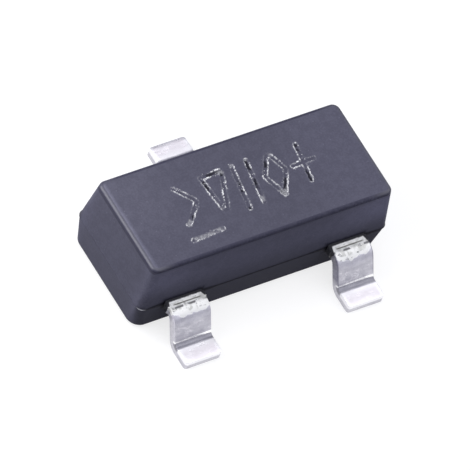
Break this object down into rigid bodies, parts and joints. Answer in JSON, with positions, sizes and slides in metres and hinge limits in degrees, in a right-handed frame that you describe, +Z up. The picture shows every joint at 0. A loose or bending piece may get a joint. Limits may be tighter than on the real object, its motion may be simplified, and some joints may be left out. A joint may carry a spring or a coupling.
{
  "type": "ldo voltage regulator",
  "caption": "Surface-mount linear voltage regulator: dark moulded body with tinned gull-wing leads, and its lead frame, die and bond wires inside.",
  "frame": {"origin": "on the seating plane, at the bottom of the box and in its middle, below the middle of the body", "axes": "+X along the body, +Y towards the side with the single lead, +Z up from the board"},
  "size_m": [0.0028, 0.0024, 0.0009],
  "materials": {
    "mould_compound": "fine spark-eroded mould texture",
    "tin_plating": "satin tin plating",
    "die_adhesive": "silver-filled adhesive",
    "silicon": "sawn and polished",
    "gold_wire": "drawn gold"
  },
  "bodies": {
    "root": {"mould_body": "mould_compound", "lead_1": "tin_plating", "lead_2": "tin_plating", "lead_3": "tin_plating", "die_attach": "die_adhesive", "die": "silicon", "bond_wire_1": "gold_wire", "bond_wire_2": "gold_wire", "bond_wire_3": "gold_wire"}
  },
  "joints": []
}
